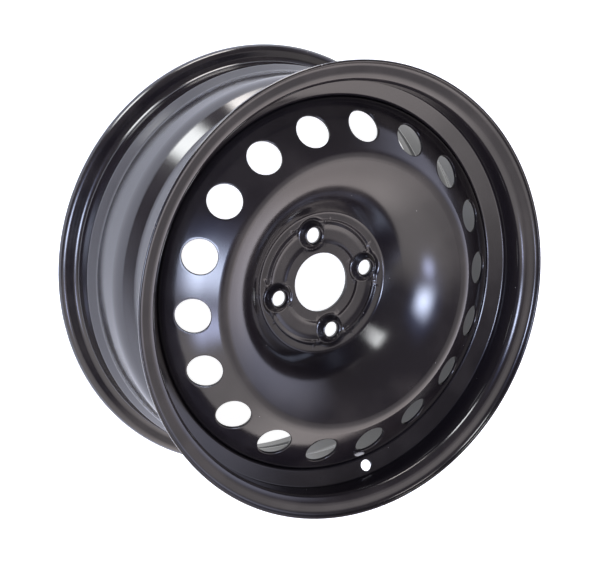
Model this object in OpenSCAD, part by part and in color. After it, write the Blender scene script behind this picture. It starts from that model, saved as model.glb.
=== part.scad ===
// Pressed-steel road wheel: a rolled drop-centre rim, a pressed ventilated disc
// and the weld seams that join them. Millimetres. The wheel's axis is Z and its
// outboard face looks up. It lies on its inboard flange, with the origin on the axis
// at the floor. Heights in the profiles count from the hub mounting face.

/* [Rim] */
// Bead seat diameter of the rim
rim_d = 405.6; // [400:0.2:412]
// Width between the two flange walls
rim_width = 177.8; // [170:0.1:184]
// Distance from the rim's mid plane out to the hub mounting face
wheel_offset = 30; // [26:0.5:34]
// Height of the flanges above the bead seat
flange_h = 17.3; // [15:0.1:19]
// Reach of the flange lip beyond the flange wall
flange_w = 8; // [7.9:0.1:12]
// Thickness of the rolled rim strip
rim_t = 2.6; // [2.4:0.1:3.2]
// Depth of the drop-centre well below the bead seat
well_depth = 17.3; // [16:0.1:19]
// Diameter of the valve hole
valve_d = 11.3; // [9:0.1:12.5]

/* [Disc] */
// Thickness of the pressed disc sheet
disc_t = 3.6; // [3.2:0.1:4]
// Diameter of the centre bore
bore_d = 58.1; // [54:0.1:62]
// Diameter of the dish at the foot of its wall
dish_d = 138.8; // [137:0.2:141]
// Diameter over the raised crest of the dish, where its two slopes would meet
crest_d = 266.2; // [262:0.2:270]
// Height of that corner above the hub mounting face
crest_h = 60.7; // [59:0.1:63]
// Slope of the dish wall above its foot
wall_angle = 55; // [53:0.5:57]
// Slope to which the dome over the wall has eased at the crest
brow_angle = 18; // [16:0.5:20]
// Slope of the vent face outside the crest
vent_angle = 30; // [28:0.5:32]

/* [Holes] */
// Pitch circle of the wheel bolts
lug_pcd = 98; // [96:0.5:100]
// Diameter of a bolt hole at its throat
lug_d = 14.8; // [13:0.1:16]
// Number of vent holes round the disc
vent_count = 18; // [12:1:20]
// Diameter of a vent hole
vent_d = 32; // [26:0.5:34]
// Pitch circle of the vent holes
vent_pcd = 315.4; // [312:0.2:318]

/* [Welds] */
// Number of weld seams between the disc and the rim
seam_count = 8; // [4:1:12]
// Length of one seam, measured round the axis in degrees
seam_angle = 26; // [10:1:28]
// Leg of the fillet weld
seam_leg = 3.6; // [2.5:0.1:4]

/* [Hidden] */
$fn = 96;
arc_step = 12;
arc_sag = 0.05;
paint = [0.09, 0.085, 0.095];
lug_count = 4;

// Rim stations along the axis and radii of the tyre side
rim_mid = -wheel_offset;
front_wall = rim_mid + rim_width / 2;
rear_wall = rim_mid - rim_width / 2;
bead_r = rim_d / 2;
flange_r = bead_r + flange_h;
well_r = bead_r - well_depth;
well_front = 23;
well_rear = -18.5;
ledge_r = bead_r - 5.6;
hump_r = bead_r + 0.2;
hump_start = 20;
hump_front = 28.6;
hump_rear = 24;
hump_foot = hump_rear - 5;
seat_angle = 5;
ramp_angle = 29;
ramp_end = well_rear - (ledge_r - well_r) / tan(ramp_angle);
ledge_rise = 0.5;
ledge_break = -63.5;
ledge_end = rear_wall + 34.4;
valve_share = 0.6;

// Roundings of the rim's corners on the tyre side
lip_round = 1.2;
curl_round = 6.6;
heel_round = 6.5;
seat_round = 3;
hump_round = 5;
rear_hump_round = 4;
slope_round = 2;
well_round = 8;
ramp_round = 35;
break_round = 60;
ledge_round = 6;

// Height of the hub mounting face above the inboard lip, on which the wheel lies
face_h = flange_w - rear_wall;

// Coined hub: a collar round the bore, a trough, a crease, a groove and a land
edge_round = 0.4;
hub_floor = disc_t + 0.2;
collar_z = disc_t + 1.9;
collar_r = 38.6;
collar_round = 1.4;
trough_in = collar_r + 3.6;
trough_out = 52.6;
trough_round = 8;
crease_r = 57;
crease_z = hub_floor + 1.9;
crease_round = 0.6;
groove_r = 60.4;
groove_z = hub_floor + 0.7;
groove_round = 1;
land_r = 62.4;
land_z = disc_t + 3.9;
land_round = 0.8;
back_step = 1.5;
back_collar_round = 3;
back_round = 4;

// Dish, crest, vent face and seating flange
seat_r = well_r - rim_t;
flange_end = -9;
dish_round = 4;
crest_round = 14;
shoulder_round = 10;
crest_r = crest_d / 2;
dish_r = dish_d / 2;
brow_r = (crest_h - land_z + dish_r * tan(wall_angle) - crest_r * tan(brow_angle))
    / (tan(wall_angle) - tan(brow_angle));
brow_z = land_z + (brow_r - dish_r) * tan(wall_angle);
brow_leg = (crest_r - brow_r) / cos(brow_angle) - crest_round * tan((brow_angle + vent_angle) / 2);
brow_flat = 0.4;
brow_round = (brow_leg - brow_flat) / tan((wall_angle - brow_angle) / 2);
shoulder_z = crest_h - (seat_r - crest_r) * tan(vent_angle);
lug_r = lug_pcd / 2;
vent_r = vent_pcd / 2;
vent_z = crest_h - (vent_r - crest_r) * tan(vent_angle);

// Raised bolt boss
pocket_r = 14.8;
pocket_top_r = 18.4;
pad_r = 16.6;
boss_r = 13.9;
boss_top_r = 9.6;
boss_top = hub_floor + 7.2;
throat_low = hub_floor + 1.2;
throat_high = boss_top - 2.8;
hollow_w = 3.4;
seat_half_angle = 30;

// Share of its leg at which the weld bead's face bulges
bead_share = 0.62;

function point(p) = [p[0], p[1]];
function unit(v) = v / norm(v);
function left(v) = [-v[1], v[0]];
function turned(v, a) = [v[0] * cos(a) - v[1] * sin(a), v[0] * sin(a) + v[1] * cos(a)];
function flipped(list) = [for (i = [len(list) - 1 : -1 : 0]) list[i]];

// Points of the arc that rounds corner b, between a and c, to radius r
function arc(a, b, c, r) =
    let (u = unit(a - b), v = unit(c - b))
    let (half = acos(u * v) / 2, turn = 180 - 2 * half)
    let (centre = b + unit(u + v) * r / sin(half), from = b + u * r / tan(half) - centre)
    let (way = cross(-u, v) > 0 ? 1 : -1, step = min(arc_step, 2 * acos(1 - arc_sag / r)))
    let (steps = max(1, ceil(turn / step)))
    [for (i = [0 : steps]) centre + turned(from, way * turn * i / steps)];

// Closed outline through corners given as [radius from axis, height, rounding]
function outline(corners) =
    let (n = len(corners))
    [for (i = [0 : n - 1])
        let (a = point(corners[(i + n - 1) % n]), b = point(corners[i]), c = point(corners[(i + 1) % n]))
        each corners[i][2] == 0 ? [b] : arc(a, b, c, corners[i][2])];

// The same run of corners moved sideways by t, to the left of its direction
function beside(run, t) =
    let (n = len(run) - 1)
    [for (i = [0 : n])
        let (b = point(run[i]))
        let (a = i == 0 ? 2 * b - point(run[1]) : point(run[i - 1]))
        let (c = i == n ? 2 * b - point(run[n - 1]) : point(run[i + 1]))
        let (p = left(unit(b - a)), q = left(unit(c - b)), s = b + t * (p + q) / (1 + p * q))
        let (inner = cross(b - a, c - b) > 0 ? -t : t)
        [s[0], s[1], i == 0 || i == n ? run[i][2] : max(0, run[i][2] + inner)]];

// Tyre side of the rim, from the outboard lip to the inboard lip
rim_run = [
    [flange_r, front_wall + flange_w, lip_round],
    [flange_r, front_wall, curl_round],
    [bead_r, front_wall, heel_round],
    [bead_r - hump_start * tan(seat_angle), front_wall - hump_start, seat_round],
    [hump_r, front_wall - hump_front, hump_round],
    [well_r, well_front, slope_round],
    [well_r, well_rear, well_round],
    [ledge_r - ledge_rise, ramp_end, ramp_round],
    [ledge_r, ledge_break, break_round],
    [ledge_r, ledge_end, ledge_round],
    [hump_r, rear_wall + hump_rear, rear_hump_round],
    [bead_r - hump_foot * tan(seat_angle), rear_wall + hump_foot, seat_round],
    [bead_r, rear_wall, heel_round],
    [flange_r, rear_wall, curl_round],
    [flange_r, rear_wall - flange_w, lip_round],
];

// Outboard side of the disc: the coined hub, then the pressed dish
hub_front = [
    [bore_d / 2, collar_z, edge_round],
    [collar_r, collar_z, collar_round],
    [trough_in, hub_floor, trough_round],
    [trough_out, hub_floor, trough_round],
    [crease_r, crease_z, crease_round],
    [groove_r, groove_z, groove_round],
    [land_r, land_z, land_round],
];
dish_front = [
    [dish_r, land_z, dish_round],
    [brow_r, brow_z, brow_round],
    [crest_r, crest_h, crest_round],
    [seat_r, shoulder_z, shoulder_round],
    [seat_r, flange_end, 0],
];

// Inboard side of the disc: the mounting ring, then the dish one sheet thickness in
hub_back = [
    [bore_d / 2, collar_z - disc_t, edge_round],
    [collar_r + 1, collar_z - disc_t, back_collar_round],
    [trough_in + edge_round, 0, back_round],
    [trough_out, 0, back_round],
    [crease_r, back_step, back_round],
    [groove_r, back_step, back_collar_round],
    [land_r + 1, land_z - disc_t, back_round],
];
dish_back = [for (i = [1 : len(dish_front)]) beside(concat([hub_front[6]], dish_front), -disc_t)[i]];

// Line of the rim's outboard slope, where the valve hole is drilled
slope_top = point(rim_run[4]);
slope_foot = point(rim_run[5]);
slope_way = unit(slope_foot - slope_top);
valve_place = slope_top + (slope_foot - slope_top) * valve_share;

// The rolled hoop, one piece, with its valve hole
module rim() {
    color(paint)
    difference() {
        rotate_extrude()
            polygon(outline(concat(rim_run, flipped(beside(rim_run, -rim_t)))));
        rotate([0, 0, 180])
            translate([valve_place[0], 0, valve_place[1]])
            rotate([0, atan2(slope_way[1], -slope_way[0]), 0])
            cylinder(d = valve_d, h = 8 * rim_t, center = true);
    }
}

// Copies at the bolt places
module at_bolts() {
    for (i = [0 : lug_count - 1])
        rotate([0, 0, 360 / lug_count * i])
        translate([lug_r, 0, 0])
        children();
}

// Round pocket that gives a bolt boss room in the coined hub
module bolt_pocket() {
    translate([0, 0, hub_floor])
        cylinder(r1 = pocket_r, r2 = pocket_top_r, h = land_z - hub_floor + 1.5);
}

// Flat pad on the mounting face with the raised boss on it
module bolt_boss() {
    cylinder(r = pad_r, h = hub_floor);
    translate([0, 0, hub_floor / 2])
        cylinder(r1 = boss_r + hub_floor / 4, r2 = boss_top_r, h = boss_top - hub_floor / 2);
}

// Bolt hole: hollow back, straight throat and tapered seat
module bolt_hole() {
    throat_r = lug_d / 2;
    translate([0, 0, -1])
        cylinder(r = throat_r, h = boss_top + 2);
    translate([0, 0, -0.5])
        cylinder(r1 = throat_r + hollow_w, r2 = throat_r, h = throat_low + 0.5);
    translate([0, 0, throat_high])
        cylinder(r1 = throat_r, r2 = throat_r + 4 * tan(seat_half_angle), h = 4);
}

// The pressed disc, one piece: hub, dish, ring of vents and seating flange
module wheel_disc() {
    color(paint)
    difference() {
        union() {
            difference() {
                rotate_extrude()
                    polygon(outline(concat(hub_front, dish_front, flipped(concat(hub_back, dish_back)))));
                at_bolts() bolt_pocket();
            }
            at_bolts() bolt_boss();
        }
        at_bolts() bolt_hole();
        for (i = [0 : vent_count - 1])
            rotate([0, 0, 360 / vent_count * i])
            translate([vent_r, 0, vent_z])
            rotate([0, vent_angle, 0])
            cylinder(d = vent_d, h = 6 * disc_t, center = true);
    }
}

// Fillet weld seams in the corner between the disc flange's edge and the rim well
module weld_seams() {
    bead = [
        [seat_r, flange_end, 0],
        [seat_r, flange_end - seam_leg, 0],
        [seat_r - seam_leg * bead_share, flange_end - seam_leg * bead_share, seam_leg * 0.8],
        [seat_r - seam_leg, flange_end, 0],
    ];
    color(paint)
    for (i = [0 : seam_count - 1])
        rotate([0, 0, 360 / seam_count * (i + 0.5) - seam_angle / 2])
        rotate_extrude(angle = seam_angle)
        polygon(outline(bead));
}

translate([0, 0, face_h]) {
    rim();
    wheel_disc();
    weld_seams();
}
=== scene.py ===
"""Looks of a black painted pressed-steel car wheel, laid out as a Blender add-on and run as a script.

The wheel lies on its inboard flange. Its axis is Z and its outboard face looks up. The pieces are
shaped in millimetres, with heights counted from the hub mounting face, and are lifted and scaled
to the frame's metres when they are finished.
"""
import math
from types import SimpleNamespace

import bmesh
import bpy
from mathutils import Matrix, Vector


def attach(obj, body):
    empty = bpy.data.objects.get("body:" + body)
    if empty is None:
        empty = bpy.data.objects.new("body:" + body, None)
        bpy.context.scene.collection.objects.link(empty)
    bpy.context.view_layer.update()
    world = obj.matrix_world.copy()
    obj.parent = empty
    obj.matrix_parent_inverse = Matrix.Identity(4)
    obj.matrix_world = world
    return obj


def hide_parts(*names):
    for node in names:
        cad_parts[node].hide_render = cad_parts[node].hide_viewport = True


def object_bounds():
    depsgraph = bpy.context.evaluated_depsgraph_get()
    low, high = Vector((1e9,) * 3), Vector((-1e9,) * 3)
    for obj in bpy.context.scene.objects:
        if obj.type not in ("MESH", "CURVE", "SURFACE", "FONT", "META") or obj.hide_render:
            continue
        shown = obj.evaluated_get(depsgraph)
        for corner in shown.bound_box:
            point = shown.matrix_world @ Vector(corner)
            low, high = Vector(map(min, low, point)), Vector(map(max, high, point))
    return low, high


bl_info = {
    "name": "Pressed-steel wheel",
    "version": (1, 0, 0),
    "blender": (4, 5, 0),
    "location": "View3D > Sidebar > Wheel",
    "description": "Builds a black painted pressed-steel wheel and its studio",
    "category": "Object",
}

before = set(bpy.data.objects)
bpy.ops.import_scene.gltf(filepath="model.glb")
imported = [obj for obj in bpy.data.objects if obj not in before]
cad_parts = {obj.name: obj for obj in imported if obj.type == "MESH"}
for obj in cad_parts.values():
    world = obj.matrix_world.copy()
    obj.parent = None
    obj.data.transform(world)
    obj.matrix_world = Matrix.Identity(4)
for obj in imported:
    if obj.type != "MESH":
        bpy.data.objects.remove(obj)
CAD_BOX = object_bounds()
MM = 0.001
STEPS = 288
STEP_ANGLE = 2 * math.pi / STEPS
BOLTS = 4


# Sizes and colours that a user would change

def linear(hex_text):
    """Linear colour of an sRGB hex value."""
    parts = [int(hex_text[i:i + 2], 16) / 255 for i in (0, 2, 4)]
    curve = [c / 12.92 if c <= 0.04045 else ((c + 0.055) / 1.055) ** 2.4 for c in parts]
    return (*curve, 1.0)


class WheelSizes(bpy.types.PropertyGroup):
    """Driving sizes of the wheel"""
    rim_d: bpy.props.FloatProperty(
        name="Rim diameter", description="Bead seat diameter of the rim",
        default=405.6 * MM, subtype="DISTANCE")
    rim_width: bpy.props.FloatProperty(
        name="Rim width", description="Width between the two flange walls",
        default=177.8 * MM, subtype="DISTANCE")
    wheel_offset: bpy.props.FloatProperty(
        name="Offset", description="From the rim's mid plane out to the hub mounting face",
        default=30 * MM, subtype="DISTANCE")
    flange_h: bpy.props.FloatProperty(
        name="Flange height", description="Height of the flanges above the bead seat",
        default=17.3 * MM, subtype="DISTANCE")
    flange_w: bpy.props.FloatProperty(
        name="Flange reach", description="Reach of the flange lip beyond the flange wall",
        default=8 * MM, subtype="DISTANCE")
    rim_t: bpy.props.FloatProperty(
        name="Rim strip", description="Thickness of the rolled rim strip",
        default=2.6 * MM, subtype="DISTANCE")
    well_depth: bpy.props.FloatProperty(
        name="Well depth", description="Depth of the well below the bead seat",
        default=17.3 * MM, subtype="DISTANCE")
    valve_d: bpy.props.FloatProperty(
        name="Valve hole", description="Diameter of the valve hole",
        default=11.3 * MM, subtype="DISTANCE")
    disc_t: bpy.props.FloatProperty(
        name="Disc sheet", description="Thickness of the pressed disc sheet",
        default=3.6 * MM, subtype="DISTANCE")
    bore_d: bpy.props.FloatProperty(
        name="Centre bore", description="Diameter of the centre bore",
        default=58.1 * MM, subtype="DISTANCE")
    dish_d: bpy.props.FloatProperty(
        name="Dish foot", description="Diameter of the dish at the foot of its wall",
        default=138.8 * MM, subtype="DISTANCE")
    crest_d: bpy.props.FloatProperty(
        name="Crest", description="Diameter of the crest, where its two slopes would meet",
        default=266.2 * MM, subtype="DISTANCE")
    crest_h: bpy.props.FloatProperty(
        name="Crest height", description="Height of that corner above the hub mounting face",
        default=60.7 * MM, subtype="DISTANCE")
    wall_angle: bpy.props.FloatProperty(
        name="Dish slope", description="Slope of the dish wall above its foot",
        default=math.radians(55), subtype="ANGLE")
    brow_angle: bpy.props.FloatProperty(
        name="Crest slope", description="Slope to which the dome over the wall has eased at the crest",
        default=math.radians(18), subtype="ANGLE")
    vent_angle: bpy.props.FloatProperty(
        name="Vent face slope", description="Slope of the vent face outside the crest",
        default=math.radians(30), subtype="ANGLE")
    lug_pcd: bpy.props.FloatProperty(
        name="Bolt circle", description="Pitch circle of the wheel bolts",
        default=98 * MM, subtype="DISTANCE")
    lug_d: bpy.props.FloatProperty(
        name="Bolt hole", description="Diameter of a bolt hole at its throat",
        default=14.8 * MM, subtype="DISTANCE")
    vent_count: bpy.props.IntProperty(
        name="Vents", description="Number of vent holes round the disc", default=18, subtype="UNSIGNED")
    vent_d: bpy.props.FloatProperty(
        name="Vent hole", description="Diameter of a vent hole",
        default=32 * MM, subtype="DISTANCE")
    vent_pcd: bpy.props.FloatProperty(
        name="Vent circle", description="Pitch circle of the vent holes",
        default=315.4 * MM, subtype="DISTANCE")
    seam_count: bpy.props.IntProperty(
        name="Weld seams", description="Number of weld seams round the disc", default=8, subtype="UNSIGNED")
    seam_angle: bpy.props.FloatProperty(
        name="Seam length", description="Length of one seam round the axis",
        default=math.radians(26), subtype="ANGLE")
    seam_leg: bpy.props.FloatProperty(
        name="Seam leg", description="Leg of the fillet weld",
        default=3.6 * MM, subtype="DISTANCE")


class WheelLooks(bpy.types.PropertyGroup):
    """Colours of the paint and the studio"""
    enamel: bpy.props.FloatVectorProperty(
        name="Enamel", description="Black enamel", default=linear("191619"), size=4, subtype="COLOR")
    dust: bpy.props.FloatVectorProperty(
        name="Dust", description="Haze on the paint", default=linear("4b4643"), size=4, subtype="COLOR")
    primer: bpy.props.FloatVectorProperty(
        name="Primer", description="Under the paint", default=linear("8a8583"), size=4, subtype="COLOR")
    floor: bpy.props.FloatVectorProperty(
        name="Floor", description="Pale studio floor", default=linear("dadfec"), size=4, subtype="COLOR")


def in_millimetres(sizes):
    """Driving sizes with lengths in millimetres, angles in radians and plain counts."""
    values = {}
    for key in WheelSizes.__annotations__:
        value = getattr(sizes, key)
        is_length = sizes.bl_rna.properties[key].unit == "LENGTH"
        values[key] = value / MM if is_length else value
    return SimpleNamespace(**values)


# Profiles: runs of corners given as (radius from the axis, height, rounding)

def point(corner):
    """Place of a corner without its rounding."""
    return Vector((corner[0], corner[1]))


def left(way):
    """Unit vector to the left of a direction."""
    return Vector((-way.y, way.x)).normalized()


def arc(a, b, c, radius):
    """Points of the round at corner b, with a support point on each straight side."""
    u = (a - b).normalized()
    v = (c - b).normalized()
    half = u.angle(v) / 2
    turn = math.pi - 2 * half
    run = radius / math.tan(half)
    centre = b + (u + v).normalized() * radius / math.sin(half)
    start = b + u * run - centre
    sign = 1 if u.cross(v) < 0 else -1
    facet_sag = 0.03
    least_radius = 0.1
    widest_step = math.radians(9 if radius > 2 else 15)
    step = min(widest_step, 2 * math.acos(1 - facet_sag / max(radius, least_radius)))
    count = max(3, math.ceil(turn / step))
    points = [centre + Matrix.Rotation(sign * turn * i / count, 2) @ start for i in range(count + 1)]
    support = 0.3
    if (a - b).length > run + 3 * support:
        points.insert(0, points[0] + u * support)
    if (c - b).length > run + 3 * support:
        points.append(points[-1] + v * support)
    return points


def corner_points(corners, closed=False):
    """For each corner of a run, the points of its round."""
    groups = []
    last = len(corners) - 1
    for i, corner in enumerate(corners):
        if corner[2] == 0 or not closed and i in (0, last):
            groups.append([point(corner)])
        else:
            before = point(corners[i - 1])
            after = point(corners[(i + 1) % len(corners)])
            groups.append(arc(before, point(corner), after, corner[2]))
    return groups


def beside(run, shift):
    """The same run of corners moved sideways, to the left of its direction."""
    moved = []
    last = len(run) - 1
    for i, corner in enumerate(run):
        here = point(corner)
        before = point(run[i - 1]) if i else 2 * here - point(run[1])
        after = point(run[i + 1]) if i < last else 2 * here - point(run[last - 1])
        p = left(here - before)
        q = left(after - here)
        place = here + shift * (p + q) / (1 + p.dot(q))
        grow = -shift if (here - before).cross(after - here) > 0 else shift
        radius = corner[2] if i in (0, last) else max(0, corner[2] + grow)
        moved.append((place.x, place.y, radius))
    return moved


def height_at(profile, r):
    """Height of a profile at radius r, where its radii grow."""
    for a, b in zip(profile, profile[1:]):
        if a.x <= r < b.x:
            return a.y + (r - a.x) / (b.x - a.x) * (b.y - a.y)
    raise ValueError(f"the profile does not reach radius {r}")


def flat(groups):
    """Points of all the groups in one list."""
    return [p for group in groups for p in group]


class Plan:
    """Stations and profiles of the wheel that follow from its driving sizes."""

    def __init__(self, sizes):
        s = in_millimetres(sizes)
        self.s = s
        self.front_wall = s.rim_width / 2 - s.wheel_offset
        self.rear_wall = -s.rim_width / 2 - s.wheel_offset
        self.face_h = s.flange_w - self.rear_wall
        self.bead_r = s.rim_d / 2
        self.well_r = self.bead_r - s.well_depth
        self.seat_r = self.well_r - s.rim_t
        self.flange_end = -9
        self.hub_floor = s.disc_t + 0.2
        self.collar_r = 38.6
        self.collar_z = s.disc_t + 1.9
        self.trough_in = self.collar_r + 3.6
        self.trough_out = 52.6
        self.crease_r = 57
        self.groove_r = 60.4
        self.land_r = 62.4
        self.land_z = s.disc_t + 3.9
        self.edge_round = 0.4
        self.crest_r = s.crest_d / 2

    def rim_run(self):
        """Tyre side of the rim, from the outboard lip to the inboard lip."""
        s = self.s
        seat_taper = math.tan(math.radians(5))
        ramp_slope = math.tan(math.radians(29))
        flange_r = self.bead_r + s.flange_h
        lip_round = 1.2
        curl_round = 6.6
        heel_round = 6.5
        seat_round = 3
        hump_r = self.bead_r + 0.2
        hump_start = 20
        hump_front = 28.6
        hump_rear = 24
        hump_foot = hump_rear - 5
        well_front = 23
        well_rear = -18.5
        ledge_r = self.bead_r - 5.6
        ledge_rise = 0.5
        ledge_break = -63.5
        ledge_end = self.rear_wall + 34.4
        ramp_end = well_rear - (ledge_r - self.well_r) / ramp_slope
        return [
            (flange_r, self.front_wall + s.flange_w, lip_round),
            (flange_r, self.front_wall, curl_round),
            (self.bead_r, self.front_wall, heel_round),
            (self.bead_r - hump_start * seat_taper, self.front_wall - hump_start, seat_round),
            (hump_r, self.front_wall - hump_front, 5),
            (self.well_r, well_front, 2),
            (self.well_r, well_rear, 8),
            (ledge_r - ledge_rise, ramp_end, 35),
            (ledge_r, ledge_break, 60),
            (ledge_r, ledge_end, 6),
            (hump_r, self.rear_wall + hump_rear, 4),
            (self.bead_r - hump_foot * seat_taper, self.rear_wall + hump_foot, seat_round),
            (self.bead_r, self.rear_wall, heel_round),
            (flange_r, self.rear_wall, curl_round),
            (flange_r, self.rear_wall - s.flange_w, lip_round),
        ]

    def hub_front(self):
        """Outboard side of the coined hub, from inside the bore to the land."""
        s = self.s
        crease_h = 1.9
        groove_h = 0.7
        trough_round = 8
        return [
            (s.bore_d / 2, self.collar_z - s.disc_t / 2, 0),
            (s.bore_d / 2, self.collar_z, self.edge_round),
            (self.collar_r, self.collar_z, 1.4),
            (self.trough_in, self.hub_floor, trough_round),
            (self.trough_out, self.hub_floor, trough_round),
            (self.crease_r, self.hub_floor + crease_h, 0.6),
            (self.groove_r, self.hub_floor + groove_h, 1),
            (self.land_r, self.land_z, 0.8),
        ]

    def dish_front(self):
        """Outboard side of the dish, from its foot over the crest to the end of the flange."""
        s = self.s
        wall = s.wall_angle
        brow = s.brow_angle
        slope = s.vent_angle
        dish_r = s.dish_d / 2
        crest_round = 14
        rise = s.crest_h - self.land_z + dish_r * math.tan(wall) - self.crest_r * math.tan(brow)
        brow_r = rise / (math.tan(wall) - math.tan(brow))
        brow_z = self.land_z + (brow_r - dish_r) * math.tan(wall)
        brow_leg = (self.crest_r - brow_r) / math.cos(brow) - crest_round * math.tan((brow + slope) / 2)
        brow_flat = 0.4
        brow_round = (brow_leg - brow_flat) / math.tan((wall - brow) / 2)
        shoulder_z = s.crest_h - (self.seat_r - self.crest_r) * math.tan(slope)
        return [
            (dish_r, self.land_z, 4),
            (brow_r, brow_z, brow_round),
            (self.crest_r, s.crest_h, crest_round),
            (self.seat_r, shoulder_z, 10),
            (self.seat_r, self.flange_end, 0.3),
        ]

    def hub_back(self):
        """Inboard side of the coined hub, from inside the bore to the land."""
        s = self.s
        wider = 1
        back_step = 1.5
        collar_round = 3
        back_round = 4
        return [
            (s.bore_d / 2, self.collar_z - s.disc_t / 2, 0),
            (s.bore_d / 2, self.collar_z - s.disc_t, self.edge_round),
            (self.collar_r + wider, self.collar_z - s.disc_t, collar_round),
            (self.trough_in + self.edge_round, 0, back_round),
            (self.trough_out, 0, back_round),
            (self.crease_r, back_step, back_round),
            (self.groove_r, back_step, collar_round),
            (self.land_r + wider, self.land_z - s.disc_t, back_round),
        ]

    def disc_sides(self):
        """Corner points of the disc's outboard and inboard sides, between the same two ends."""
        hub = self.hub_front()
        dish = self.dish_front()
        inner = beside([hub[-1]] + dish, -self.s.disc_t)[1:]
        end = (self.seat_r - self.s.disc_t / 2, self.flange_end, 0)
        return corner_points(hub + dish + [end]), corner_points(self.hub_back() + inner + [end])

    def vent_drop(self, r, z):
        """Drop of the vent face below its cone, since it bows down towards the shoulder."""
        bow_start = 150
        bow = 0.006
        flange_top = 5
        fade = 15
        reach = max(0, r - bow_start)
        return bow * reach * reach * min(1, max(0, (z - flange_top) / fade))

    def bolt_front(self, base, rho):
        """Outboard height at a bolt: a raised boss in a round pocket, with a tapered seat."""
        floor = self.hub_floor
        pocket_r = 14.8
        pocket_slope = 1.44
        boss_r = 13.9
        boss_slope = 1.674
        boss_h = 7.2
        throat_h = 4.4
        seat_half_angle = math.radians(30)
        pocket = max(0, rho - pocket_r) * pocket_slope
        z = floor + soft_lower(base - floor, pocket)
        flank = floor + (boss_r - rho) * boss_slope
        boss = blend_low(flank, floor + boss_h, 0.9)
        z = blend_high(z, boss, 1.6)
        seat = floor + throat_h + (rho - self.s.lug_d / 2) / math.tan(seat_half_angle)
        return blend_low(z, seat, 0.3)

    def bolt_back(self, base, rho):
        """Inboard height at a bolt: a flat pad with a hollow under the boss."""
        pad_r = 16.2
        pad_slope = 4
        throat_h = 1.2
        hollow_slope = 1.618
        pad = max(0, rho - pad_r) * pad_slope
        z = soft_lower(base, pad)
        hollow = self.hub_floor + throat_h - (rho - self.s.lug_d / 2) * hollow_slope
        return blend_high(z, hollow, 0.6)


def blend_low(a, b, width):
    """Lower of two heights, rounded where they cross."""
    h = max(width - abs(a - b), 0) / width
    return min(a, b) - h * h * width / 4


def blend_high(a, b, width):
    """Higher of two heights, rounded where they cross."""
    return -blend_low(-a, -b, width)


def soft_lower(a, b):
    """Lower of two rises above a floor, rounded where they cross and flat where one is flat."""
    lowest = 0.001
    power = 6
    if min(a, b) <= lowest:
        return 0
    return (a ** -power + b ** -power) ** (-1 / power)


# Mesh helpers

def wire(bm, points, closed=False):
    """A chain of edges through points given as (x, y, z)."""
    verts = [bm.verts.new(p) for p in points]
    edges = [bm.edges.new(pair) for pair in zip(verts, verts[1:])]
    if closed:
        edges.append(bm.edges.new((verts[-1], verts[0])))
    return verts, edges


def spin_profile(bm, points, first=0, steps=STEPS):
    """Spins profile points about the axis over a number of steps, from a first step."""
    a = first * STEP_ANGLE
    part = bmesh.new()
    verts, edges = wire(part, [(p.x * math.cos(a), p.x * math.sin(a), p.y) for p in points])
    bmesh.ops.spin(part, geom=verts + edges, cent=(0, 0, 0), axis=(0, 0, 1), angle=steps * STEP_ANGLE,
                   steps=steps, use_merge=steps == STEPS)
    join(bm, part)


def repeat_round(bm, count):
    """Repeats a sector round the axis."""
    bmesh.ops.spin(bm, geom=[*bm.verts, *bm.edges, *bm.faces], cent=(0, 0, 0), axis=(0, 0, 1),
                   angle=2 * math.pi * (count - 1) / count, steps=count - 1, use_duplicate=True)


def join(bm, part):
    """Moves a part's geometry into a mesh."""
    mesh = bpy.data.meshes.new("part")
    part.to_mesh(mesh)
    part.free()
    bm.from_mesh(mesh)
    bpy.data.meshes.remove(mesh)


def holed_patch(bm, radii, half_steps, centre, hole_r, rings, place):
    """Patch between the first and last of some radii, about +X, with a hole in it.

    place holds two functions: the first lays a point given by its radius and angle out flat, and the
    second raises a flat point to its place.
    """
    lay, raise_up = place
    span = half_steps * STEP_ANGLE
    across = [i * STEP_ANGLE for i in range(-half_steps, half_steps)]
    sides = [
        [(radii[-1], a) for a in across],
        [(r, span) for r in reversed(radii[1:])],
        [(radii[0], -a) for a in across],
        [(r, -span) for r in radii[:-1]],
    ]
    placed = bm.verts.layers.int.get("placed") or bm.verts.layers.int.new("placed")
    outer = [lay(r, a) for side in sides for r, a in side]
    inner = []
    for i, side in enumerate(sides):
        for j in range(len(side)):
            a = math.pi / 2 * (i - 0.5 + j / len(side))
            inner.append((centre + hole_r * math.cos(a), hole_r * math.sin(a)))
    hole = wire(bm, [(x, y, 0) for x, y in inner], closed=True)[1]
    edge = wire(bm, [(x, y, 0) for x, y in outer], closed=True)[1]
    spokes = bmesh.ops.bridge_loops(bm, edges=hole + edge)["edges"]
    bmesh.ops.subdivide_edges(bm, edges=spokes, cuts=rings)
    for vert in bm.verts:
        if not vert[placed]:
            vert.co = raise_up(vert.co.x, vert.co.y)
            vert[placed] = 1
    return hole


def cone_patch(bm, a, b, rows, half_steps, hole_place, hole_r, rings):
    """Patch of the cone through profile points a and b, with a hole square to it."""
    share = (b.x - a.x) / (b - a).length
    rise = (b.y - a.y) / (b.x - a.x)

    def lay(r, angle):
        return r / share * math.cos(angle * share), r / share * math.sin(angle * share)

    def raise_up(x, y):
        r = math.hypot(x, y) * share
        angle = math.atan2(y, x) / share
        return r * math.cos(angle), r * math.sin(angle), a.y + (r - a.x) * rise

    radii = [a.x + (b.x - a.x) * i / rows for i in range(rows + 1)]
    return holed_patch(bm, radii, half_steps, hole_place / share, hole_r, rings, (lay, raise_up))


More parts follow.
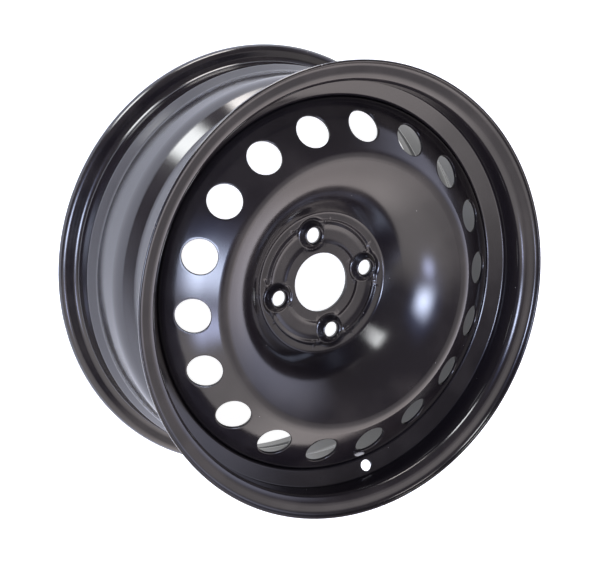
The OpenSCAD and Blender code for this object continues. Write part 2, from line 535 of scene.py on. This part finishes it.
def finish_piece(bm, name, lift, material, node):
    """Closes a piece, turns its faces outwards and puts it in the scene in place of its solid."""
    merge_gap = 0.01
    sharp_angle = math.radians(35)
    bmesh.ops.remove_doubles(bm, verts=bm.verts, dist=merge_gap)
    bmesh.ops.recalc_face_normals(bm, faces=bm.faces)
    for face in bm.faces:
        face.smooth = True
    bmesh.ops.translate(bm, verts=bm.verts, vec=(0, 0, lift))
    bmesh.ops.scale(bm, verts=bm.verts, vec=(MM, MM, MM))
    open_edges = sum(not e.is_manifold for e in bm.edges)
    if open_edges:
        raise ValueError(f"{name} has {open_edges} open edges")
    mesh = bpy.data.meshes.new(name)
    bm.to_mesh(mesh)
    bm.free()
    mesh.set_sharp_from_angle(angle=sharp_angle)
    mesh.materials.append(material)
    piece = bpy.data.objects.new(name, mesh)
    bpy.context.scene.collection.objects.link(piece)
    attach(piece, "root")
    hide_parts(node)
    return piece


def soften(bm, edges, width):
    """Rounds the edges of a punched hole."""
    bmesh.ops.recalc_face_normals(bm, faces=bm.faces)
    bmesh.ops.bevel(bm, geom=edges, offset=width, offset_type="OFFSET", segments=3, profile=0.5,
                    affect="EDGES", material=-1)


# Materials

def add(tree, kind, inputs=None, **settings):
    """Adds a node with its settings and inputs, where an input is a value or an output socket."""
    node = tree.nodes.new(kind)
    for key, value in settings.items():
        setattr(node, key, value)
    for key, value in (inputs or {}).items():
        socket = node.inputs[key]
        if isinstance(value, bpy.types.NodeSocket):
            tree.links.new(value, socket)
        else:
            socket.default_value = value
    return node


def per_metre(size):
    """Scale of a pattern whose grains are this many millimetres apart."""
    return 1 / (size * MM)


def black_enamel(looks):
    """Black enamel, dipped and baked on pressed steel.

    It is a hard gloss with a faint orange peel, on sheet that the press has left slightly wavy. A thin
    haze of dust dulls what faces up, a few grains stand in the paint, and handling has rubbed the lips
    through to the grey primer.
    """
    found = bpy.data.materials.get("black_enamel")
    if found:
        return found
    material = bpy.data.materials.new("black_enamel")
    material.use_nodes = True
    tree = material.node_tree
    tree.nodes.clear()
    place = add(tree, "ShaderNodeTexCoord").outputs["Object"]
    normal = add(tree, "ShaderNodeNewGeometry").outputs["Normal"]
    # Patches of dust and handling, about 40 mm across
    haze = add(tree, "ShaderNodeTexNoise", {"Vector": place, "Scale": per_metre(40), "Detail": 5.0})
    facing = add(tree, "ShaderNodeSeparateXYZ", {0: normal}).outputs["Z"]
    upward = add(tree, "ShaderNodeMapRange", {"Value": facing, "From Min": 0.3, "From Max": 1.0})
    patch = add(tree, "ShaderNodeMapRange", {
        "Value": haze.outputs["Fac"], "From Min": 0.42, "From Max": 0.72, "To Max": 0.22})
    dust = add(tree, "ShaderNodeMath", {0: upward.outputs[0], 1: patch.outputs[0]}, operation="MULTIPLY")
    # Grains in the paint, about 0.7 mm wide and 14 mm apart
    grains = add(tree, "ShaderNodeTexVoronoi", {"Vector": place, "Scale": per_metre(14)})
    grain = add(tree, "ShaderNodeMapRange", {
        "Value": grains.outputs["Distance"], "From Min": 0.032, "From Max": 0.02})
    pick = add(tree, "ShaderNodeSeparateColor", {0: grains.outputs["Color"]}).outputs["Red"]
    picked = add(tree, "ShaderNodeMath", {0: pick, 1: 0.7}, operation="GREATER_THAN")
    speck = add(tree, "ShaderNodeMath", {0: grain.outputs[0], 1: picked.outputs[0]}, operation="MULTIPLY")
    # Rubs on the outermost 1.5 mm of the lips, broken up at about 7 mm
    outer_r = CAD_BOX[1][0]
    level = add(tree, "ShaderNodeVectorMath", {0: place, 1: (1, 1, 0)}, operation="MULTIPLY")
    radius = add(tree, "ShaderNodeVectorMath", {0: level.outputs[0]}, operation="LENGTH")
    lip = add(tree, "ShaderNodeMapRange", {
        "Value": radius.outputs["Value"], "From Min": outer_r - 1.5 * MM, "From Max": outer_r - 0.3 * MM})
    rubs = add(tree, "ShaderNodeTexNoise", {"Vector": place, "Scale": per_metre(7), "Detail": 4.0})
    rub = add(tree, "ShaderNodeMapRange", {
        "Value": rubs.outputs["Fac"], "From Min": 0.64, "From Max": 0.71, "To Max": 0.5})
    scuff = add(tree, "ShaderNodeMath", {0: lip.outputs[0], 1: rub.outputs[0]}, operation="MULTIPLY")
    worn = add(tree, "ShaderNodeMath", {0: speck.outputs[0], 1: scuff.outputs[0]}, operation="MAXIMUM")
    dusted = add(tree, "ShaderNodeMix", {
        "Factor": dust.outputs[0], 6: looks.enamel, 7: looks.dust}, data_type="RGBA")
    colour = add(tree, "ShaderNodeMix", {
        "Factor": worn.outputs[0], 6: dusted.outputs[2], 7: looks.primer}, data_type="RGBA")
    gloss = add(tree, "ShaderNodeMapRange", {
        "Value": haze.outputs["Fac"], "From Min": 0.3, "From Max": 0.7, "To Min": 0.13, "To Max": 0.18})
    rough = add(tree, "ShaderNodeMix", {"Factor": worn.outputs[0], 2: gloss.outputs[0], 3: 0.5})
    # Waves of the pressing, about 60 mm long, and orange peel, about 2.5 mm
    waves = add(tree, "ShaderNodeTexNoise", {"Vector": place, "Scale": per_metre(60), "Detail": 0.0})
    wavy = add(tree, "ShaderNodeBump", {
        "Height": waves.outputs["Fac"], "Strength": 1.0, "Distance": 0.4 * MM})
    peel = add(tree, "ShaderNodeTexNoise", {"Vector": place, "Scale": per_metre(2.5), "Detail": 1.0})
    bump = add(tree, "ShaderNodeBump", {
        "Height": peel.outputs["Fac"], "Strength": 1.0, "Distance": 0.01 * MM, "Normal": wavy.outputs[0]})
    shader = add(tree, "ShaderNodeBsdfPrincipled", {
        "Base Color": colour.outputs[2],
        "Roughness": rough.outputs[0],
        "IOR": 1.6,
        "Normal": bump.outputs["Normal"],
    })
    add(tree, "ShaderNodeOutputMaterial", {"Surface": shader.outputs["BSDF"]})
    return material


def pale_floor(looks):
    """White studio paper: matt, and shown as white to the camera and in reflections."""
    material = bpy.data.materials.new("studio_paper")
    material.use_nodes = True
    tree = material.node_tree
    tree.nodes.clear()
    path = add(tree, "ShaderNodeLightPath").outputs
    # The little light that reaches the paper under the wheel makes up the rest of the white
    own_white = 0.975
    seen = add(tree, "ShaderNodeMath", {
        0: path["Is Glossy Ray"], 1: path["Is Transmission Ray"]}, operation="MAXIMUM")
    shown = add(tree, "ShaderNodeMath", {
        0: path["Is Camera Ray"], 1: own_white, 2: seen.outputs[0]}, operation="MULTIPLY_ADD")
    glow = add(tree, "ShaderNodeEmission", {"Color": (1, 1, 1, 1), "Strength": shown.outputs[0]})
    matt = add(tree, "ShaderNodeBsdfDiffuse", {"Color": looks.floor})
    both = add(tree, "ShaderNodeAddShader", {0: matt.outputs[0], 1: glow.outputs[0]})
    add(tree, "ShaderNodeOutputMaterial", {"Surface": both.outputs[0]})
    return material


# Studio, in metres and degrees

AIM = Vector((0, 0, 0.12))
SHEET_R = 0.67
SHEET_PLACE = (-0.15, 0.1, 0)
ROOM_COLOUR = "fff4f6"
ROOM_RADIANCE = 0.2
LENS = 96.3
SENSOR = 36
EYE = (0.50516, 0.67603, 1.44421)
EYE_TURN = (-13.299, -29.488, -101.873)
# Lamps round the wheel: name, azimuth, elevation, distance, width, height, soft edge, radiance, colour
LAMPS = (
    ("key_box", 73.5, 49, 2.0, 1.1, 1.3, 0.5, 24.0, "d9e4ff"),
    ("key_halo", 73, 50, 2.0, 2.1, 2.1, 0.5, 1.8, "9fb2ff"),
    ("strip_box", 109, 47, 2.0, 0.66, 0.8, 0.5, 13.0, "c8d2ff"),
    ("window_box", -16.5, -6, 1.8, 0.8, 1.15, 0.2, 17.0, "fffaf7"),
    ("pane_box", 17.5, 1, 1.8, 0.74, 1.47, 0.3, 18.0, "fbfeff"),
)
# Glow of the studio's walls: azimuth, elevation, angle to its full part, angle to its edge, radiance, colour
WALLS = (
    (137, 28, 15, 58, 1.5, "fff8f6"),
    (-155, 8, 10, 56, 2.2, "fff4f2"),
    (-95, 2, 10, 52, 1.8, "dcdffc"),
    (-138, 56, 5, 36, 0.75, "fff8f8"),
)


# Pieces

class WHEEL_OT_rim(bpy.types.Operator):
    """Rolled drop-centre rim with its valve hole"""
    bl_idname = "wheel.rim"
    bl_label = "Rim"

    def execute(self, context):
        plan = Plan(context.scene.wheel_sizes)
        s = plan.s
        run = plan.rim_run()
        groups = corner_points(run + beside(run, -s.rim_t)[::-1], closed=True)
        # The corners of the run between which the outboard slope lies
        hump = 4
        foot = hump + 1
        inner_foot = 2 * len(run) - 1 - foot
        inner_hump = 2 * len(run) - 1 - hump
        slopes = [
            (groups[foot][0], groups[hump][-1]),
            (groups[inner_foot][-1], groups[inner_hump][0]),
        ]
        half_steps = 4
        rows = 8
        rings = 3
        valve_share = 0.6
        hole_round = 0.5
        along = (point(run[foot]) - point(run[hump])).normalized()
        valve = point(run[hump]).lerp(point(run[foot]), valve_share)
        inward = left(along) * -s.rim_t
        bm = bmesh.new()
        holes = []
        for (low, high), shift in zip(slopes, (Vector((0, 0)), inward)):
            holes += cone_patch(bm, low, high, rows, half_steps, valve.x + shift.x, s.valve_d / 2, rings)
        bmesh.ops.bridge_loops(bm, edges=holes)
        soften(bm, holes, hole_round)
        bmesh.ops.rotate(bm, cent=(0, 0, 0), matrix=Matrix.Rotation(math.pi, 3, "Z"), verts=bm.verts)
        for low, high in slopes:
            points = [low.lerp(high, i / rows) for i in range(rows + 1)]
            spin_profile(bm, points, STEPS // 2 + half_steps, STEPS - 2 * half_steps)
        spin_profile(bm, flat(groups[foot:inner_foot + 1]))
        spin_profile(bm, flat(groups[inner_hump:] + groups[:foot]))
        finish_piece(bm, "rim_hoop", plan.face_h, black_enamel(context.scene.wheel_looks), "rim")
        return {"FINISHED"}


class WHEEL_OT_disc(bpy.types.Operator):
    """Pressed disc with its coined hub, bolt seats, dish, vents and flange"""
    bl_idname = "wheel.disc"
    bl_label = "Disc"

    def execute(self, context):
        plan = Plan(context.scene.wheel_sizes)
        front, back = plan.disc_sides()
        bm = bmesh.new()
        join(bm, self.vent_ring(plan, front, back))
        land = len(plan.hub_front())
        join(bm, self.hub_ring(plan, flat(front), flat(back), front[1][-1].x, front[land][0].x))
        for groups in (front, back):
            spin_profile(bm, groups[0] + groups[1])
            spin_profile(bm, flat(groups[land:land + 3]))
            spin_profile(bm, flat(groups[land + 3:]))
        for vert in bm.verts:
            vert.co.z -= plan.vent_drop(math.hypot(vert.co.x, vert.co.y), vert.co.z)
        finish_piece(bm, "disc_pressing", plan.face_h, black_enamel(context.scene.wheel_looks), "wheel_disc")
        return {"FINISHED"}

    def vent_ring(self, plan, front, back):
        """Vent face between crest and shoulder: one sector with its hole, repeated round the disc."""
        bm = bmesh.new()
        s = plan.s
        crest = len(plan.hub_front()) + 2
        half_steps = STEPS // s.vent_count // 2
        rings = 6
        hole_round = 0.7
        holes = []
        for groups, depth in ((front, 0), (back, s.disc_t)):
            place = s.vent_pcd / 2 - depth * math.sin(s.vent_angle)
            holes += cone_patch(bm, groups[crest][-1], groups[crest + 1][0], 2 * half_steps, half_steps,
                                place, s.vent_d / 2, rings)
        bmesh.ops.bridge_loops(bm, edges=holes)
        soften(bm, holes, hole_round)
        repeat_round(bm, s.vent_count)
        return bm

    def hub_ring(self, plan, front, back, bore_edge, land_r):
        """Coined hub between bore edge and land: one bolt sector and one plain sector, repeated."""
        bm = bmesh.new()
        s = plan.s
        half_steps = STEPS // BOLTS // 4
        front_rings = 24
        back_rings = 10
        radii = [p.x for p in front if bore_edge <= p.x <= land_r]
        holes = []
        sides = (
            (front, plan.bolt_front, front_rings),
            (back, plan.bolt_back, back_rings),
        )
        for profile, height, rings in sides:

            def lay(r, angle):
                return r * math.cos(angle), r * math.sin(angle)

            def raise_up(x, y, profile=profile, height=height):
                r = math.hypot(x, y)
                base = height_at(profile, r)
                z = height(base, math.hypot(x - s.lug_pcd / 2, y))
                # The bolt's form fades out over the last millimetre of the land
                return x, y, base + (z - base) * min(1, max(0, land_r - r))

            holes += holed_patch(bm, radii, half_steps, s.lug_pcd / 2, s.lug_d / 2, rings, (lay, raise_up))
        # The press leaves soft forms in the pockets round the bolts
        pocket_r = 18
        bolt = Vector((s.lug_pcd / 2, 0))
        soft = [v for v in bm.verts if not v.is_boundary and (v.co.xy - bolt).length < pocket_r]
        passes = 3
        for _ in range(passes):
            bmesh.ops.smooth_vert(bm, verts=soft, factor=0.5,
                                  use_axis_x=True, use_axis_y=True, use_axis_z=True)
        bmesh.ops.bridge_loops(bm, edges=holes)
        for profile in (front, back):
            points = [Vector((r, height_at(profile, r))) for r in radii]
            spin_profile(bm, points, half_steps, 2 * half_steps)
        repeat_round(bm, BOLTS)
        return bm


class WHEEL_OT_welds(bpy.types.Operator):
    """Fillet weld seams between the disc flange and the rim well"""
    bl_idname = "wheel.welds"
    bl_label = "Weld seams"

    def execute(self, context):
        plan = Plan(context.scene.wheel_sizes)
        s = plan.s
        bm = bmesh.new()
        root = Vector((plan.seat_r, plan.flange_end))
        facets = 6
        angles = [math.pi / 2 * i / facets for i in range(facets + 1)]
        face = [root - s.seam_leg * Vector((math.cos(a), math.sin(a))) for a in angles]
        verts, edges = wire(bm, [(p.x, 0, p.y) for p in [root] + face], closed=True)
        steps = 120
        span = s.seam_angle
        start = math.pi / s.seam_count - span / 2
        bmesh.ops.rotate(bm, cent=(0, 0, 0), matrix=Matrix.Rotation(start, 3, "Z"), verts=verts)
        bmesh.ops.spin(bm, geom=verts + edges, cent=(0, 0, 0), axis=(0, 0, 1), angle=span, steps=steps)
        bmesh.ops.holes_fill(bm, edges=[e for e in bm.edges if e.is_boundary])
        for vert in bm.verts:
            self.ripple(vert, root, start, span)
        repeat_round(bm, s.seam_count)
        finish_piece(bm, "weld_beads", plan.face_h, black_enamel(context.scene.wheel_looks), "weld_seams")
        return {"FINISHED"}

    def ripple(self, vert, root, start, span):
        """Draws a bead in towards its root at its ends and between its ripples."""
        angle = math.atan2(vert.co.y, vert.co.x)
        r = math.hypot(vert.co.x, vert.co.y)
        along = (angle - start) * root.x
        to_end = max(0, min(along, span * root.x - along))
        end_size = 0.35
        end_run = 4
        pitch = 3
        depth = 0.05
        taper = end_size + (1 - end_size) * min(1, to_end / end_run) ** 0.5
        size = taper * (1 - depth - depth * math.cos(2 * math.pi * along / pitch))
        r = root.x + (r - root.x) * size
        vert.co = (r * math.cos(angle), r * math.sin(angle), root.y + (vert.co.z - root.y) * size)


def direction(azimuth, elevation):
    """Unit vector towards an azimuth and elevation in degrees."""
    a, e = math.radians(azimuth), math.radians(elevation)
    return Vector((math.cos(a) * math.cos(e), math.sin(a) * math.cos(e), math.sin(e)))


class WHEEL_OT_stage(bpy.types.Operator):
    """Floor, light and camera"""
    bl_idname = "wheel.stage"
    bl_label = "Studio"

    def execute(self, context):
        scene = context.scene
        scene.view_settings.view_transform = "Standard"
        bm = bmesh.new()
        bmesh.ops.create_circle(bm, cap_ends=True, segments=96, radius=SHEET_R)
        bmesh.ops.translate(bm, verts=bm.verts, vec=SHEET_PLACE)
        mesh = bpy.data.meshes.new("floor")
        bm.to_mesh(mesh)
        bm.free()
        mesh.materials.append(pale_floor(scene.wheel_looks))
        floor = bpy.data.objects.new("floor", mesh)
        scene.collection.objects.link(floor)
        scene.world = self.studio()
        for lamp in LAMPS:
            self.soft_box(scene, *lamp)
        camera = bpy.data.cameras.new("camera")
        camera.lens = LENS
        camera.sensor_width = SENSOR
        eye = bpy.data.objects.new("camera", camera)
        eye.location = EYE
        eye.rotation_euler = [math.radians(a) for a in EYE_TURN]
        scene.collection.objects.link(eye)
        scene.camera = eye
        return {"FINISHED"}

    def studio(self):
        """World of a dim room whose walls glow softly in a few places."""
        world = bpy.data.worlds.new("studio")
        world.use_nodes = True
        tree = world.node_tree
        tree.nodes.clear()
        way = add(tree, "ShaderNodeTexCoord").outputs["Generated"]
        room = add(tree, "ShaderNodeBackground", {"Color": linear(ROOM_COLOUR), "Strength": ROOM_RADIANCE})
        for azimuth, elevation, inner, outer, radiance, tint in WALLS:
            near = add(tree, "ShaderNodeVectorMath", {0: way, 1: direction(azimuth, elevation)},
                       operation="DOT_PRODUCT")
            glow = add(tree, "ShaderNodeMapRange", {
                "Value": near.outputs["Value"],
                "From Min": math.cos(math.radians(outer)),
                "From Max": math.cos(math.radians(inner)),
                "To Max": radiance,
            }, interpolation_type="SMOOTHSTEP")
            wall = add(tree, "ShaderNodeBackground", {
                "Color": linear(tint), "Strength": glow.outputs["Result"]})
            room = add(tree, "ShaderNodeAddShader", {0: room.outputs[0], 1: wall.outputs[0]})
        add(tree, "ShaderNodeOutputWorld", {"Surface": room.outputs[0]})
        return world

    def soft_box(self, scene, name, azimuth, elevation, distance, width, height, edge, radiance, tint):
        """Area light that faces the wheel from a direction given in degrees and fades towards its edges."""
        way = direction(azimuth, elevation)
        light = bpy.data.lights.new(name, "AREA")
        light.shape = "RECTANGLE"
        light.size = width
        light.size_y = height
        light.energy = radiance * math.pi * width * height
        light.color = linear(tint)[:3]
        light.use_nodes = True
        tree = light.node_tree
        tree.nodes.clear()
        spot = add(tree, "ShaderNodeNewGeometry").outputs["Parametric"]
        off = add(tree, "ShaderNodeVectorMath", {0: spot, 1: (0.5, 0.5, 0)}, operation="SUBTRACT")
        off = add(tree, "ShaderNodeVectorMath", {0: off.outputs[0]}, operation="ABSOLUTE")
        sides = add(tree, "ShaderNodeSeparateXYZ", {0: off.outputs[0]}).outputs
        fades = [add(tree, "ShaderNodeMapRange", {
            "Value": side, "From Min": 0.5, "From Max": 0.5 - edge,
        }, interpolation_type="SMOOTHSTEP").outputs["Result"] for side in (sides["X"], sides["Y"])]
        both = add(tree, "ShaderNodeMath", {0: fades[0], 1: fades[1]}, operation="MULTIPLY")
        glow = add(tree, "ShaderNodeEmission", {"Strength": both.outputs[0]})
        add(tree, "ShaderNodeOutputLight", {"Surface": glow.outputs[0]})
        lamp = bpy.data.objects.new(name, light)
        lamp.location = AIM + way * distance
        lamp.rotation_euler = way.to_track_quat("Z", "Y").to_euler()
        scene.collection.objects.link(lamp)


class WHEEL_PT_panel(bpy.types.Panel):
    """Lists the wheel's pieces and its studio"""
    bl_idname = "WHEEL_PT_panel"
    bl_label = "Pressed-steel wheel"
    bl_space_type = "VIEW_3D"
    bl_region_type = "UI"
    bl_category = "Wheel"

    def draw(self, context):
        for operator in OPERATORS:
            self.layout.operator(operator.bl_idname)


OPERATORS = (WHEEL_OT_stage, WHEEL_OT_rim, WHEEL_OT_disc, WHEEL_OT_welds)
CLASSES = (WheelSizes, WheelLooks, *OPERATORS, WHEEL_PT_panel)


def register():
    for cls in CLASSES:
        bpy.utils.register_class(cls)
    bpy.types.Scene.wheel_sizes = bpy.props.PointerProperty(type=WheelSizes)
    bpy.types.Scene.wheel_looks = bpy.props.PointerProperty(type=WheelLooks)


def unregister():
    del bpy.types.Scene.wheel_looks
    del bpy.types.Scene.wheel_sizes
    for cls in reversed(CLASSES):
        bpy.utils.unregister_class(cls)


def main():
    """Builds the studio and the wheel."""
    register()
    bpy.ops.wheel.stage()
    bpy.ops.wheel.rim()
    bpy.ops.wheel.disc()
    bpy.ops.wheel.welds()


if __name__ == "__main__":
    main()
